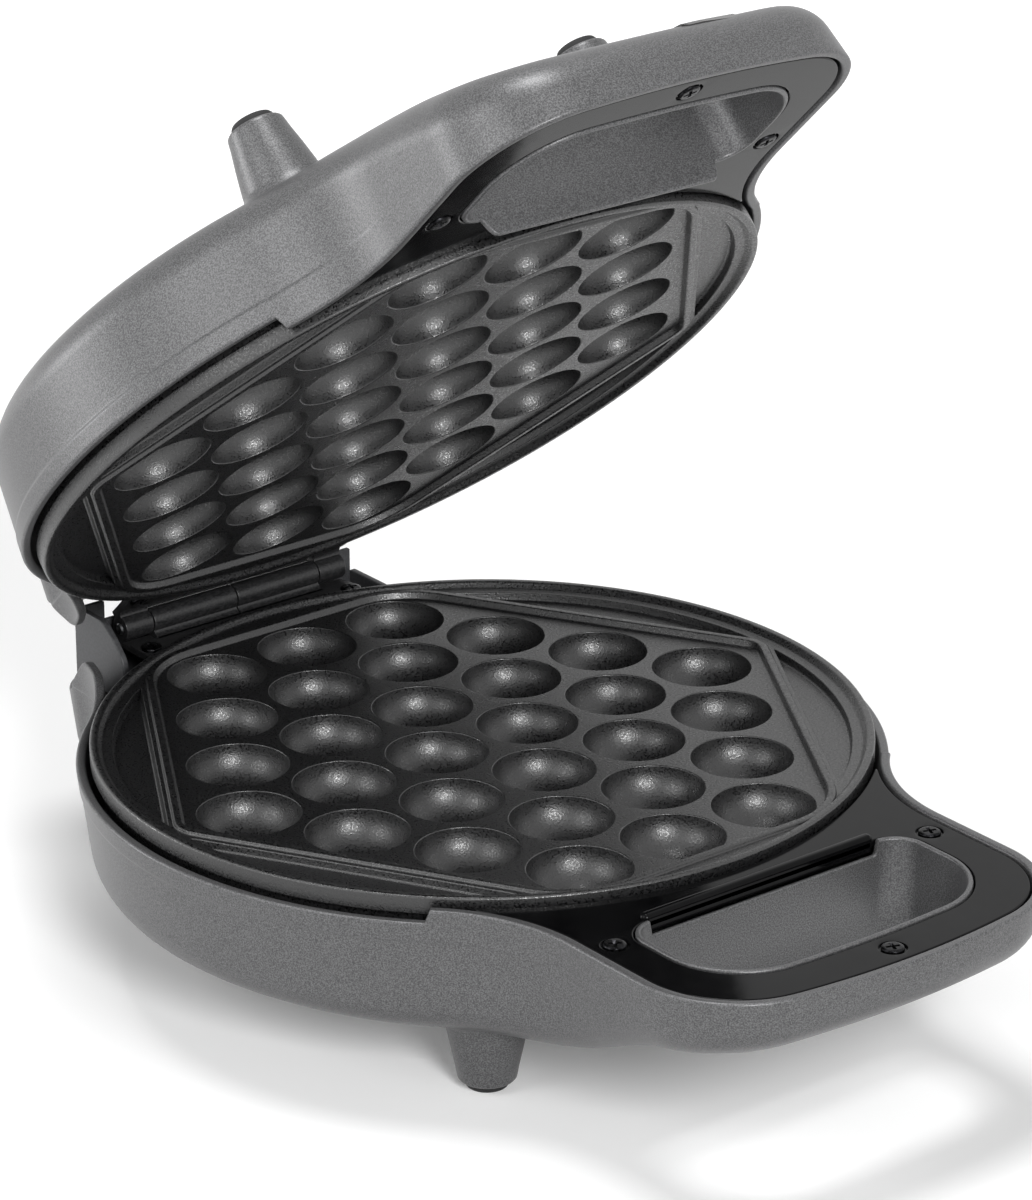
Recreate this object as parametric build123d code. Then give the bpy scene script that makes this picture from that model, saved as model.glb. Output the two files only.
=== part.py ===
from build123d import *
from math import atan, cos, degrees, hypot, radians, sin, sqrt, tan
import os

# Bubble waffle maker, opened, in millimetres. +Z is up, +X is to the right seen from the handle,
# and +Y points from the handle to the hinge. The origin is on the table, under the middle of the
# opened machine.
#
# The two halves are near mirror images. Each piece is drawn for the upper half of the closed
# machine, where z is the distance from the parting plane, and is then set on its own half.

# cooking plates
pitch = 28.0
bowl_rows = (3, 4, 5, 6, 5, 4, 3)
bowl_radius = 12.6
bowl_flats = 9
bowl_mid_radius = 10.7
bowl_mid_depth = 5.0
bowl_floor_depth = 9.8
plate_radius = 95.8
plate_sides = 48
plate_wall = 2.6
rim_top = 0.25
rim_land = 1.6
rim_foot_radius = 92.4
ridge_top = 1.2
ridge_width = 2.0
land_top = 3.0
basin_top = 4.0
ridge_to_side = 79.2
ridge_to_front = 90.4
back_inset = 6.6
skirt_depth = 4.8
skirt_step = 2.2
skirt_end = 11.0

# casings
casing_radius = 100.0
casing_depth = 36.5
casing_wall = 2.6
casing_draft = 7.0
casing_edge = 10.0
shoulder_start = 66.0
shoulder_end = 92.0
shoulder_drop = 4.6
crown_steps = (66.0, 79.0, 92.0, 106.0, 122.0, 142.0, 175.0)
arc_step = 6.0
corner_step = 18.0
low_rim = 5.4
handle_rim = 1.9
handle_half = 56.5
handle_front = 159.0
handle_bow = 7.5
handle_corner = 28.0
handle_flare = 45.0
handle_step = 70.5
handle_end_depth = 17.0
grip_half = 41.0
grip_near = 103.0
grip_far = 142.0
grip_bow = 2.5
grip_front_corner = 19.0
grip_back_corner = 7.0
grip_wall = 2.2
tongue_half = 34.0
tongue_reach = 2.4
notch_depth = 5.6

# handle covers
cover_top = 2.4
cover_thickness = 1.6
cover_gap = 0.3
bead_width = 2.0
bead_height = 0.8
cover_screws = ((-47.6, -109.5), (47.6, -109.5), (0.0, -149.5))
screw_recess = 0.55

# screws
screw_radius = 1.4
head_radius = 2.7
head_height = 0.9

# hinge
hinge_y = 106.0
hinge_half = 34.7
knuckle_radius = 3.3
pin_radius = 1.5
long_knuckle = 26.0
running_gap = 0.3
leaf_top = 3.2
leaf_thickness = 1.8
leaf_screws = ((-31.5, -9.5), (31.5, -9.5))
open_angle = 44.0

# rear housing
rear_half = 53.0
rear_y = 117.0
rear_corner = 15.5
rear_flare = 31.0
rear_opening = 13.0
ear_top = 0.4
ear_start = 76.0
ear_end = 96.0
cheek_half = 44.0
cheek_rise = 6.5

# feet
foot_places = ((-48.0, -63.0), (48.0, -63.0), (-48.0, 63.0), (48.0, 63.0))
foot_reach = 56.5
foot_top_radius = 9.2
foot_end_radius = 6.6
pad_radius = 5.4
pad_thickness = 1.8

# cord gland and indicator
gland_x = 32.0
gland_depth = 21.6
gland_face = 115.4
lens_x = 13.0
lens_y = -150.4
lens_length = 16.0
lens_width = 5.0

# inside
post_places = ((-69.0, -40.0), (69.0, -40.0), (-69.0, 40.0), (69.0, 40.0))
post_radius = 4.4
element_radius = 58.0
element_size = 6.4
element_bends = 12
wire_radius = 1.2
wire_drop = 12.6


def vertices_at(sketch, x, y):
    # the vertices of an outline nearest to (x, y) and to its mirror image (-x, y)
    def nearest(px):
        return min(sketch.vertices(), key=lambda v: hypot(v.X - px, v.Y - y))
    return [nearest(x), nearest(-x)]


def bowed_block(half, near, far, bow, front_corner, back_corner=0.0):
    # outline with straight sides at x = +-half, from y = -near to a bowed front at y = -far
    right = Line((half, -near), (half, -far + bow))
    front = ThreePointArc(right @ 1, (0, -far), (-half, -far + bow))
    left = Line(front @ 1, (-half, -near))
    back = Line(left @ 1, right @ 0)
    block = make_face([right, front, left, back])
    block = fillet(vertices_at(block, half, -far + bow), front_corner)
    if back_corner:
        block = fillet(vertices_at(block, half, -near), back_corner)
    return block


def casing_outline():
    # round tub, flared handle in front, hinge housing at the rear
    grip = bowed_block(handle_half, 60.0, handle_front, handle_bow, handle_corner)
    rear = Pos(0, rear_y / 2) * Rectangle(2 * rear_half, rear_y)
    rear = fillet(vertices_at(rear, rear_half, rear_y), rear_corner)
    outline = Circle(casing_radius) + grip + rear
    front_waist = sqrt(casing_radius**2 - handle_half**2)
    rear_waist = sqrt(casing_radius**2 - rear_half**2)
    outline = fillet(vertices_at(outline, handle_half, -front_waist), handle_flare)
    return fillet(vertices_at(outline, rear_half, rear_waist), rear_flare)


def grip_outline():
    return bowed_block(grip_half, grip_near, grip_far, grip_bow, grip_front_corner, grip_back_corner)


def stations(sketch):
    # points along an outline, each with the way inwards: its arcs are stepped, so that a wall made
    # from them is a run of flat strips
    edges = sketch.faces().sort_by(SortBy.AREA)[-1].outer_wire().order_edges()
    found = []
    for edge, after in zip(edges, edges[1:] + edges[:1]):
        onward = min((edge @ 1 - after @ t).length for t in (0, 1)) < 0.001
        steps = 1
        if edge.geom_type == GeomType.CIRCLE:
            turn = degrees(edge.length / edge.radius)
            steps = max(2, round(turn / (arc_step if edge.radius > 60 else corner_step)))
        for i in range(steps):
            t = i / steps if onward else 1 - i / steps
            point, way = edge @ t, (edge % t) * (1 if onward else -1)
            found.append((point.X, point.Y, -way.Y, way.X))
    foremost = min(found, key=lambda p: p[1])
    side = 1.0 if foremost[3] > 0 else -1.0
    return [(x, y, nx * side, ny * side) for x, y, nx, ny in found]


def faceted(sketch):
    return make_face(Polyline(*[(x, y) for x, y, *_ in stations(sketch)], close=True))


def along_x(points, half=130.0, rounded=(), radius=0.0):
    # a solid that runs along X, with its section given as (y, z) points
    section = make_face(Polyline(*points, close=True))
    for y, z in rounded:
        corner = min(section.vertices(), key=lambda v: hypot(v.X - y, v.Y - z))
        section = fillet(corner, radius)
    return extrude(Plane.YZ * section, amount=half, both=True)


def crown_curve(y):
    # depth of the machine's top: level over the tub, then down a round shoulder and a long hollow
    # slope to the end of the handle
    run = shoulder_end - shoulder_start
    first = (run**2 + shoulder_drop**2) / (2 * shoulder_drop)
    if y >= -shoulder_start:
        return casing_depth
    if y > -shoulder_end:
        return casing_depth - first + sqrt(first**2 - (y + shoulder_start)**2)
    lean = 2 * atan(shoulder_drop / run)
    fall = casing_depth - shoulder_drop - handle_end_depth + 1.0
    chord = hypot(170 - shoulder_end, fall)
    second = chord / (2 * sin(lean - atan(fall / (170 - shoulder_end))))
    middle_y = -shoulder_end - second * sin(lean)
    middle_z = casing_depth - shoulder_drop + second * cos(lean)
    return middle_z - sqrt(second**2 - (y - middle_y)**2)


def crown(y):
    # the same in flat steps
    for near, far in zip(crown_steps, crown_steps[1:]):
        if -far <= y < -near:
            share = (-y - near) / (far - near)
            return crown_curve(-near) * (1 - share) + crown_curve(-far) * share
    return casing_depth


def outside_of_crown(drop):
    slope = [(-y, crown_curve(-y) - drop) for y in crown_steps]
    return along_x([(130, 80), (130, casing_depth - drop)] + slope + [(-crown_steps[-1], 80)])


def skin(rings):
    # solid between closed rings of points, its walls in flat strips, or in pairs of triangles where a
    # strip would be twisted
    faces = [Face(Wire.make_polygon(ring, close=True)) for ring in (rings[0], rings[-1])]
    for low, high in zip(rings, rings[1:]):
        for i in range(len(low)):
            a, b, c, d = [Vector(*p) for p in (low[i - 1], low[i], high[i], high[i - 1])]
            twist = abs((b - a).cross(c - a).normalized().dot(d - a))
            outlines = [(a, b, c, d)] if twist < 0.000001 else [(a, b, c), (a, c, d)]
            faces += [Face(Wire.make_polygon(outline, close=True)) for outline in outlines]
    return Solid(Shell(faces))


def moulded_form(wall, edge, bands):
    # drafted walls that turn over into the crown: lofted through rings round the outline, each ring
    # further in and nearer to the crown than the last
    draft = tan(radians(casing_draft))
    places = stations(casing_outline())

    def ring(inset, heights):
        points = []
        for (x, y, nx, ny), z in zip(places, heights):
            inward = wall + inset + min(z, casing_depth) * draft
            points.append((x + nx * inward, y + ny * inward, z))
        return points

    tops = [crown(y + ny * (wall + edge + casing_depth * draft * 0.8)) - wall for _, y, _, ny in places]
    rings = [ring(0, [-1.0] * len(places))]
    for i in range(bands + 1):
        turn = radians(90 * i / bands)
        rings.append(ring(edge * (1 - cos(turn)), [top - edge * (1 - sin(turn)) for top in tops]))
    rings.append([(x, y, 60.0) for x, y, z in rings[-1]])
    return skin(rings) - outside_of_crown(wall)


def moulded_body():
    return moulded_form(0, casing_edge, 3) - block((-130, -170, -2), (130, 130, 0))


def rear_swing_room():
    # the gap behind the hinge that lets the lid swing back, between the ears of the two halves
    points = [(handle_step, -1), (handle_step, low_rim), (ear_start, low_rim), (ear_start + 9, ear_top),
              (ear_end, ear_top), (ear_end + 10.5, rear_opening), (130, rear_opening), (130, -1)]
    return along_x(points, rounded=((ear_start + 9, ear_top), (ear_end, ear_top)), radius=4.0)


def rod(x, y, low, high, radius):
    return Pos(x, y, (low + high) / 2) * Cylinder(radius, high - low)


def block(low, high):
    size = [h - l for l, h in zip(low, high)]
    return Pos(*[(l + h) / 2 for l, h in zip(low, high)]) * Box(*size)


def peg(x, y, low, high, radius, sides=6):
    # small many-sided post, screw or hole
    return Pos(x, y, low) * extrude(RegularPolygon(radius, sides), amount=high - low)


def feet(body):
    # tapered posts that stand on the crown
    length = foot_reach - pad_thickness - casing_depth + 6
    lean = degrees(atan((foot_top_radius - foot_end_radius + 0.8) / length))
    posts = []
    for x, y in foot_places:
        post = extrude(RegularPolygon(foot_top_radius + 0.8, 12), amount=length, taper=lean)
        posts.append(Pos(x, y, casing_depth - 6) * post - body)
    return posts


def casing(body, is_lid):
    grip = faceted(grip_outline())
    grip_tube = faceted(offset(grip_outline(), grip_wall))
    hollow = moulded_form(casing_wall, casing_edge - casing_wall, 2)
    hollow -= extrude(grip_tube, amount=60)
    shell = body - hollow

    # rims: low round the plate, higher along the handle, ears and swing room at the rear
    shell -= block((-130, -handle_step, -1), (130, handle_step, low_rim))
    shell -= block((-130, -170, -1), (130, -handle_step, handle_rim))
    shell -= rear_swing_room()
    tongue = extrude(grip_tube, amount=20)
    tongue &= block((-tongue_half, -grip_near - 1, 0), (tongue_half, -grip_near + grip_wall, 20))
    if is_lid:
        shell += Pos(0, 0, -tongue_reach) * tongue
    else:
        shell -= block((-tongue_half - 1, -grip_near - 1, -1), (tongue_half + 1, -90, notch_depth))
    shell -= extrude(grip, amount=120, both=True)

    # posts for the plate, bosses for the cover screws, ledge and bosses for the hinge leaf
    inner = [peg(x, y, basin_top + plate_wall, 50, post_radius, 8) for x, y in post_places]
    inner += [peg(x, y, cover_top + cover_thickness, 50, 3.6) for x, y in cover_screws]
    leaf_face = leaf_top + leaf_thickness
    inner += [peg(x, hinge_y + y, leaf_face, 50, 3.6) for x, y in leaf_screws]
    ledge = block((-39.5, 80, leaf_face), (39.5, hinge_y - 5, leaf_face + 2.6))
    ledge -= disc(casing_radius - casing_wall, -1, 60)
    ledge += block((-39.5, hinge_y - 7.6, leaf_face), (39.5, hinge_y - 5, 50))
    shell += [piece & body for piece in inner + [ledge]]
    for x, y in post_places:
        shell -= peg(x, y, 22, 60, 3.7, 8) + peg(x, y, 0, 60, screw_radius + 0.15)
    for x, y in cover_screws:
        shell -= peg(x, y, 0, cover_top + 11.5, screw_radius + 0.1)
    for x, y in leaf_screws:
        shell -= peg(x, hinge_y + y, 0, leaf_top + 11.5, screw_radius + 0.1)
    if is_lid:
        return shell - extrude(lens_window(), amount=60)
    shell += along_y(gland_x, gland_depth, rear_y - 10, gland_face, 7.6)
    return shell - along_y(gland_x, gland_depth, 90, 130, 4.9)


def hexagon(to_side, to_front):
    # land outline: edges along X at front and back, slanted edges to points at the left and right
    point_x = to_side / cos(radians(30))
    corner_x = (to_side - to_front / 2) / cos(radians(30))
    corners = [(point_x, 0), (corner_x, to_front), (-corner_x, to_front),
               (-point_x, 0), (-corner_x, -to_front), (corner_x, -to_front)]
    land = make_face(Polyline(*corners, close=True))
    return land & RegularPolygon(rim_foot_radius - (ridge_to_side - to_side) * 0.75, plate_sides)


def bowl_centres():
    centres = []
    for row, count in enumerate(bowl_rows):
        y = (row - 3) * pitch * sin(radians(60))
        centres += [((i - (count - 1) / 2) * pitch, y) for i in range(count)]
    return centres


def bowl_tool():
    # the room of one bowl, wide at its mouth, in two slopes
    flat_share = cos(radians(180 / bowl_flats))
    upper_taper = degrees(atan((bowl_radius - bowl_mid_radius) * flat_share / bowl_mid_depth))
    lower_depth = bowl_floor_depth - bowl_mid_depth
    upper = extrude(RegularPolygon(bowl_radius, bowl_flats), amount=bowl_mid_depth, taper=upper_taper)
    lower = extrude(RegularPolygon(bowl_mid_radius, bowl_flats), amount=lower_depth, taper=42)
    return upper + Pos(0, 0, bowl_mid_depth) * lower


def disc(radius, low, high, taper=0.0):
    return Pos(0, 0, low) * extrude(RegularPolygon(radius, plate_sides), amount=high - low, taper=taper)


def cooking_plate():
    under = basin_top + plate_wall
    r = plate_radius
    lean = degrees(atan((r - rim_land - 0.9 - rim_foot_radius) / (basin_top - rim_top)))
    plate = disc(r, rim_top, skirt_depth) + disc(r - skirt_step, skirt_depth - 0.1, skirt_end)
    plate -= disc(r - rim_land - 0.9, rim_top, basin_top, lean)
    plate -= disc(r - skirt_step - 2, under, skirt_end)
    outer = hexagon(ridge_to_side, ridge_to_front)
    inner = hexagon(ridge_to_side - ridge_width, ridge_to_front - ridge_width)
    plate += Pos(0, 0, land_top) * extrude(outer, amount=basin_top - land_top + 0.2)
    plate += Pos(0, 0, ridge_top) * extrude(outer - inner, amount=basin_top - ridge_top + 0.2)
    back = hexagon(ridge_to_side - back_inset, ridge_to_front - back_inset)
    plate += Pos(0, 0, under - 0.2) * extrude(back, amount=back_of_bowls() - under + 0.2)
    plate -= [Pos(x, y, land_top) * bowl_tool() for x, y in bowl_centres()]
    return plate


def handle_cover(with_bead):
    outline = faceted(offset(casing_outline(), -(casing_wall + cover_gap + 0.5)))
    outline -= Pos(0, 80 - handle_step - 4) * Rectangle(300, 160)
    outline -= RegularPolygon(plate_radius + 0.9, plate_sides)
    outline -= faceted(offset(grip_outline(), grip_wall + cover_gap))
    pieces = outline.faces().sort_by(SortBy.AREA)
    cover = Pos(0, 0, cover_top) * extrude(pieces[-1], amount=cover_thickness)
    if with_bead:
        front = -grip_near + grip_wall + cover_gap
        half = tongue_half + 0.6
        cover += block((-half, front, cover_top - bead_height), (half, front + bead_width, cover_top + 0.2))
        cover += block((-half, front, cover_top), (half, front + cover_thickness, notch_depth - 0.2))
    for x, y in cover_screws:
        cover -= peg(x, y, 0, cover_top + screw_recess, head_radius + 0.4, 8)
        cover -= peg(x, y, 0, 20, screw_radius + 0.2)
    return cover


def screw(x, y, seat, length=10.5):
    # flat-headed screw, its head towards the parting plane and its seat at z = seat
    head = peg(x, y, seat - head_height, seat, head_radius, 8)
    return head + peg(x, y, seat - 0.1, seat + length, screw_radius)


def plate_screw(x, y):
    # driven from outside through a post, up to the plate
    return peg(x, y, basin_top + plate_wall, 24, screw_radius) + peg(x, y, 22, 24, 3.3, 8)


def element_end():
    # where the straight cold end at the right stops; the left one mirrors it
    half_turn = radians(180 / element_bends)
    return element_radius * sin(half_turn), -element_radius * cos(half_turn) + 24


def heating_element():
    # tubular heating element, bent to a ring under the bowls, with two straight cold ends
    x, y = element_end()
    angles = [radians(-90 + 360 / element_bends * (i + 0.5)) for i in range(element_bends)]
    ring = [(element_radius * cos(a), element_radius * sin(a), 0) for a in angles]
    path = Polyline((x, y, 0), *ring, (-x, y, 0))
    section = Plane(origin=path @ 0, z_dir=path % 0) * RegularPolygon(element_size / 2, 6)
    tube = sweep(section, path=path, transition=Transition.RIGHT)
    return Pos(0, 0, back_of_bowls() + element_size / 2 + 0.1) * tube


def back_of_bowls():
    return bowl_floor_depth + land_top + plate_wall


def element_clamps():
    z = back_of_bowls() + element_size + 0.3
    straps = []
    for i in range(3):
        strap = Pos(element_radius * 0.98, 0, z + 0.6) * Box(22, 10, 1.2)
        straps.append(Rot(0, 0, 120 * i) * strap)
    return straps


def reflector():
    # shallow sheet pan under the element, open round the thermostat and the element's ends
    pan = extrude(RegularPolygon(75, 12), amount=8.6)
    pan -= extrude(RegularPolygon(74, 12), amount=7.8)
    pan -= block((-19, -36, -1), (19, 11, 20))
    return Pos(0, 0, back_of_bowls() + 1.8) * pan


def thermostat():
    z = back_of_bowls() + 0.05
    body = peg(0, 0, z, z + 7, 8.0, 12) + peg(0, 0, z + 7, z + 9.5, 5.5)
    tags = [Pos(x, 0, z + 11) * Box(1, 5, 5) for x in (-3, 3)]
    return body + tags


def foot_pads():
    return [peg(x, y, foot_reach - pad_thickness, foot_reach, pad_radius, 12) for x, y in foot_places]


def hinge_leaf(long_knuckles):
    # flat leaf that follows the plate's rim, with its knuckles rolled on the hinge line
    back = hinge_y - 4.0
    leaf = block((-hinge_half, 80, leaf_top), (hinge_half, back, leaf_top + leaf_thickness))
    leaf -= disc(plate_radius + 1.2, -1, 60)
    if long_knuckles:
        spans = [(-long_knuckle, -running_gap / 2), (running_gap / 2, long_knuckle)]
    else:
        spans = [(-hinge_half, -long_knuckle - running_gap), (long_knuckle + running_gap, hinge_half)]
    for low, high in spans:
        knuckle = extrude(RegularPolygon(knuckle_radius, 16), amount=high - low)
        leaf += Pos(low, hinge_y, 0) * Rot(0, 90, 0) * knuckle
        leaf += block((low, back - 1, 0.8), (high, hinge_y, leaf_top + leaf_thickness))
    bore = extrude(RegularPolygon(pin_radius + 0.04, 12, major_radius=False), amount=200)
    leaf -= Pos(-100, hinge_y, 0) * Rot(0, 90, 0) * bore
    for x, y in leaf_screws:
        leaf -= peg(x, hinge_y + y, 0, 20, screw_radius + 0.2)
    return leaf


def hinge_pin():
    return Pos(0, hinge_y, 0) * Rot(0, 90, 0) * Cylinder(pin_radius, 2 * hinge_half + 0.8)


def hinge_cover():
    # dark shroud on the base: a cheek at each end of the hinge and a low wall behind it
    back = rear_y - 2.6
    side = [(91, 13), (91, 2), (95.5, -2.8), (100, -cheek_rise), (back - 1.6, -cheek_rise), (back - 1.6, 13)]
    rounded = ((91, 2), (95.5, -2.8), (100, -cheek_rise), (back - 1.6, -cheek_rise))
    cheeks = along_x(side, cheek_half, rounded, 3.0) - block((-cheek_half + 1.8, 80, -20), (cheek_half - 1.8, 130, 20))
    wall = block((-cheek_half, back - 2.9, -1.0), (cheek_half, back - 1.6, 13))
    floor = block((-cheek_half, hinge_y - 4.6, 11.2), (cheek_half, back - 1.6, 13))
    return cheeks + wall + floor


def along_y(x, z, near, far, radius):
    return Pos(x, far, z) * Rot(90, 0, 0) * extrude(RegularPolygon(radius, 12), amount=far - near)


def cord_gland():
    # round bush in the rear wall, where the mains lead comes in
    flange = along_y(gland_x, gland_depth, gland_face, gland_face + 1.8, 6.2)
    neck = along_y(gland_x, gland_depth, gland_face - 8.0, gland_face + 0.2, 4.8)
    return flange + neck - along_y(gland_x, gland_depth, 90, 130, 3.2)


def terminal_block():
    floor = casing_depth - casing_wall
    body = block((-13, 88, floor - 11), (13, 97, floor))
    slots = [block((x - 2.6, 86, floor - 8), (x + 2.6, 90, floor - 3)) for x in (-8.4, 0, 8.4)]
    return body - slots


def wire(*points):
    # insulated lead along straight runs
    path = Polyline(*points)
    section = Plane(origin=path @ 0, z_dir=path % 0) * RegularPolygon(wire_radius, 6)
    return sweep(section, path=path, transition=Transition.RIGHT)


def wiring():
    # leads from the element's cold ends and the thermostat towards the rear
    cold = back_of_bowls() + element_size / 2 + 0.1
    low = back_of_bowls() + wire_drop
    x, y = element_end()
    past_block = 89.9
    return [
        wire((x, y + 0.1, cold), (x, y + 8, cold), (x, y + 8, low), (3, -14, low), (3, -2.6, low)),
        wire((-3, 2.6, low), (-3, 11.9, low)),
        wire((-3, 24.1, low), (-3, 56, low), (0, 76, low), (0, past_block, low)),
        wire((-x, y + 0.1, cold), (-x, y + 8, cold), (-x, y + 8, low), (-x, 36, low), (-8.4, 76, low),
             (-8.4, past_block, low)),
    ]


def thermal_fuse():
    return Pos(-3, 24, back_of_bowls() + wire_drop) * Rot(90, 0, 0) * extrude(RegularPolygon(2.2, 8), amount=12)


def lens_window():
    window = Pos(lens_x, lens_y) * Rectangle(lens_length, lens_width)
    return chamfer(window.vertices(), 1.2)


def indicator_lens(body):
    # smoked window in the front edge of the lid's handle, slightly proud of it
    window = extrude(offset(lens_window(), -0.05), amount=60)
    return (window & Pos(0, 0, 0.6) * body) - Pos(0, 0, -2.4) * body


def indicator_lamps():
    return [Pos(lens_x + side, lens_y, 10.5) * Rot(0, 90 * side, 0) * extrude(RegularPolygon(1.8, 8), amount=6.5)
            for side in (-1, 1)]


def lamp_holder():
    low = cover_top + cover_thickness
    bed = block((lens_x - 9, lens_y - 2.6, low), (lens_x + 9, lens_y + 2.6, 8.6))
    rib = block((lens_x - 0.8, lens_y - 2.6, low), (lens_x + 0.8, lens_y + 2.6, 12.0))
    return bed + rib


def set_on_base(shape):
    return Pos(0, 0, foot_reach) * mirror(shape, about=Plane.XY)


def set_on_lid(shape):
    turned = shape.rotate(Axis((0, hinge_y, 0), (1, 0, 0)), -open_angle)
    return Pos(0, 0, foot_reach) * turned


def group(pieces):
    return Compound(children=[s for p in pieces for s in p.solids()])


def half_nodes(body, is_lid):
    name = "lid" if is_lid else "base"
    nodes = {
        "casing": casing(body, is_lid),
        "cooking_plate": cooking_plate(),
        "handle_cover": handle_cover(with_bead=not is_lid),
        "handle_screws": group([screw(x, y, cover_top + screw_recess) for x, y in cover_screws]),
        "feet": group(feet(body)),
        "foot_pads": group(foot_pads()),
        "heating_element": heating_element(),
        "element_clamps": group(element_clamps()),
        "reflector": reflector(),
        "thermostat": thermostat(),
        "wiring": group(wiring()),
        "plate_screws": group([plate_screw(x, y) for x, y in post_places]),
        "hinge_leaf": hinge_leaf(long_knuckles=not is_lid),
        "hinge_screws": group([screw(x, hinge_y + y, leaf_top) for x, y in leaf_screws]),
    }
    return {f"{name}_{key}": shape for key, shape in nodes.items()}


def build():
    body = moulded_body()
    base = half_nodes(body, is_lid=False)
    base |= {"hinge_cover": hinge_cover(), "cord_gland": cord_gland(),
             "terminal_block": terminal_block(), "thermal_fuse": thermal_fuse()}
    lid = half_nodes(body, is_lid=True)
    lid |= {"indicator_lens": indicator_lens(body), "indicator_lamps": group(indicator_lamps()),
            "lamp_holder": lamp_holder()}
    nodes = {key: set_on_base(shape) for key, shape in base.items()}
    nodes |= {key: set_on_lid(shape) for key, shape in lid.items()}
    nodes["hinge_pin"] = Pos(0, 0, foot_reach) * hinge_pin()
    return nodes


nodes = build()
middle = Compound(children=[s for n in nodes.values() for s in n.solids()]).bounding_box().center().Y
os.makedirs("parts", exist_ok=True)
for key, shape in nodes.items():
    export_step(Pos(0, -middle, 0) * shape, f"parts/{key}.step")
print("hinge line at y", round(hinge_y - middle, 4), "z", foot_reach)
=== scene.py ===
from math import acos, asin, atan2, cos, degrees, hypot, pi, radians, sin, sqrt, tan

import bmesh
import bpy
from mathutils import Matrix, Vector
from mathutils.geometry import delaunay_2d_cdt


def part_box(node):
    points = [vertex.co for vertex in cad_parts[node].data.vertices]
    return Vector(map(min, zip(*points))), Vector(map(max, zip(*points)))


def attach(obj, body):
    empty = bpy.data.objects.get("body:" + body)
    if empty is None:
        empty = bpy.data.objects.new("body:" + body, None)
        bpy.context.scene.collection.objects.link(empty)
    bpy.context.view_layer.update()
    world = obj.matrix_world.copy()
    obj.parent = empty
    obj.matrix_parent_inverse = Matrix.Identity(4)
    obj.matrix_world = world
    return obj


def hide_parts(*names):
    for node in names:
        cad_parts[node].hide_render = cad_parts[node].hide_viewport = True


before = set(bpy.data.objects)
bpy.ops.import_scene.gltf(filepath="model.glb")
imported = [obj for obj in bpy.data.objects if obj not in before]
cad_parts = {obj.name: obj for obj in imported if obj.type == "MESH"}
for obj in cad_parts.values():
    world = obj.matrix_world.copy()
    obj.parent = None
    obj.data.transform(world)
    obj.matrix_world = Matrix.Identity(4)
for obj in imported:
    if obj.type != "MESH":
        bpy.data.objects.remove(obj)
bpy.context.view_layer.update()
print("frame loaded")

# Both halves are near mirror images, so each piece is drawn once in millimetres for the upper half
# of the closed machine: z is the distance from the parting plane, y runs from the handle to the hinge.
machine = dict(plane=56.5, hingeY=106.0, openAngle=44.0)
pinLow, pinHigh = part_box("hinge_pin")
shiftY = (pinLow.y + pinHigh.y) * 500 - machine["hingeY"]


def placeOnBase(point):
    x, y, z = point
    return (x / 1000, (y + shiftY) / 1000, (machine["plane"] - z) / 1000)


def placeOnLid(point):
    x, y, z = point
    turn = radians(machine["openAngle"])
    y -= machine["hingeY"]
    return (x / 1000, (y * cos(turn) + z * sin(turn) + machine["hingeY"] + shiftY) / 1000,
            (z * cos(turn) - y * sin(turn) + machine["plane"]) / 1000)


placings = {"base": placeOnBase, "lid": placeOnLid}


# camera, at the photograph's viewing angle
view = dict(azimuth=-38.14, elevation=22.56, roll=-0.225, distance=1.27181, focalPixels=5230,
            imageHeight=1200, target=(10.6, 0.0, 30.6))


def addCamera():
    az, el, roll = (radians(view[k]) for k in ("azimuth", "elevation", "roll"))
    back = Vector((sin(az) * cos(el), -cos(az) * cos(el), sin(el)))
    right = Vector((cos(az), sin(az), 0))
    up = back.cross(right)
    right, up = cos(roll) * right + sin(roll) * up, cos(roll) * up - sin(roll) * right
    tx, ty, tz = view["target"]
    target = Vector((tx, ty + shiftY, tz + machine["plane"])) / 1000
    camera = bpy.data.objects.new("camera", bpy.data.cameras.new("camera"))
    camera.data.lens = view["focalPixels"] * 36 / view["imageHeight"]
    camera.data.sensor_width = 36
    camera.data.clip_end = 50
    turned = Matrix((right, up, back)).transposed().to_4x4()
    camera.matrix_world = Matrix.Translation(target + back * view["distance"]) @ turned
    bpy.context.scene.collection.objects.link(camera)
    bpy.context.scene.camera = camera


addCamera()
print("camera set")


# materials

def linearColour(code):
    channels = [int(code[i:i + 2], 16) / 255 for i in (1, 3, 5)]
    return tuple(c / 12.92 if c <= 0.04045 else ((c + 0.055) / 1.055) ** 2.4 for c in channels) + (1.0,)


def addNode(tree, kind, settings=None, links=None):
    node = tree.nodes.new(kind)
    for key, value in (settings or {}).items():
        if isinstance(key, str) and hasattr(node, key):
            setattr(node, key, value)
        else:
            node.inputs[key].default_value = value
    for key, source in (links or {}).items():
        tree.links.new(source, node.inputs[key])
    return node


def newMaterial(name):
    material = bpy.data.materials.new(name)
    material.use_nodes = True
    return material, material.node_tree, material.node_tree.nodes["Principled BSDF"]


def perMillimetre(size):
    return 1000 / size  # texture scale whose pattern repeats about every size millimetres


speckle = dict(noiseRange=(0.3, 0.7), stops=(0.38, 0.64), unevenness=0.04)


def spreadNoise(tree, noise, low, high):
    # the part of a noise that mostly occurs, spread from low to high
    start, end = speckle["noiseRange"]
    settings = {"From Min": start, "From Max": end, "To Min": low, "To Max": high}
    return addNode(tree, "ShaderNodeMapRange", settings, {"Value": noise}).outputs["Result"]


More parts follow.
